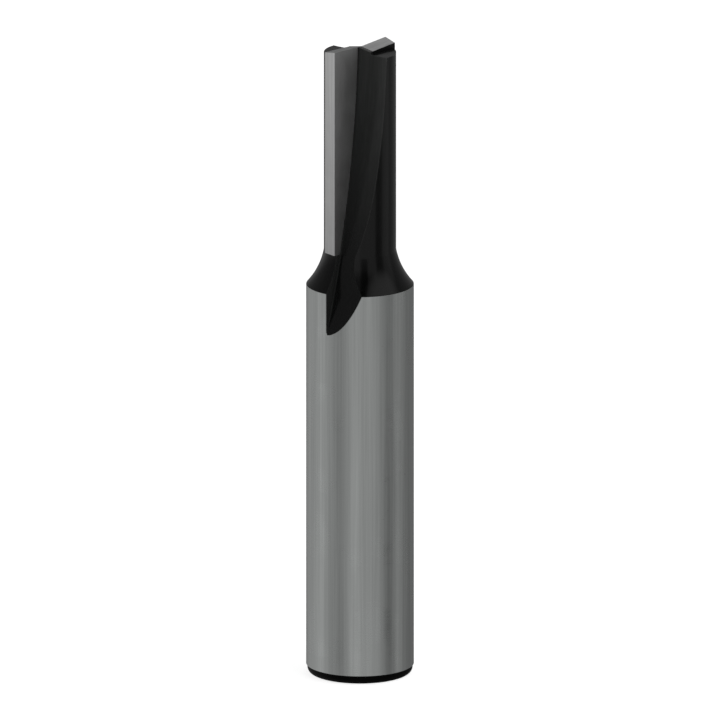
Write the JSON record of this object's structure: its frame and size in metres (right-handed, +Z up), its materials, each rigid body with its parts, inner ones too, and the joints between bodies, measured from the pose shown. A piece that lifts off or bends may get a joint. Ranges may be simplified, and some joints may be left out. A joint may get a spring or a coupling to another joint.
{
  "type": "router bit",
  "caption": "Straight router bit: a ground steel shank that flares into a slim fluted head with brazed carbide tips.",
  "frame": {"origin": "centre of the shank's flat end face", "axes": "+Z up the axis, from the shank's end to the cutting end; both cutting edges lie in the XZ plane, that of carbide_tip_1 on the +X side and that of carbide_tip_2 on the -X side; the rake faces look to +Y and -Y"},
  "size_m": [0.008, 0.008, 0.0481],
  "materials": {
    "body": "ground shank, black oxide on the head and the flare",
    "carbide": "ground tungsten carbide, dark grey"
  },
  "bodies": {
    "root": {"cutter_body": "body", "carbide_tip_1": "carbide", "carbide_tip_2": "carbide"}
  },
  "joints": []
}
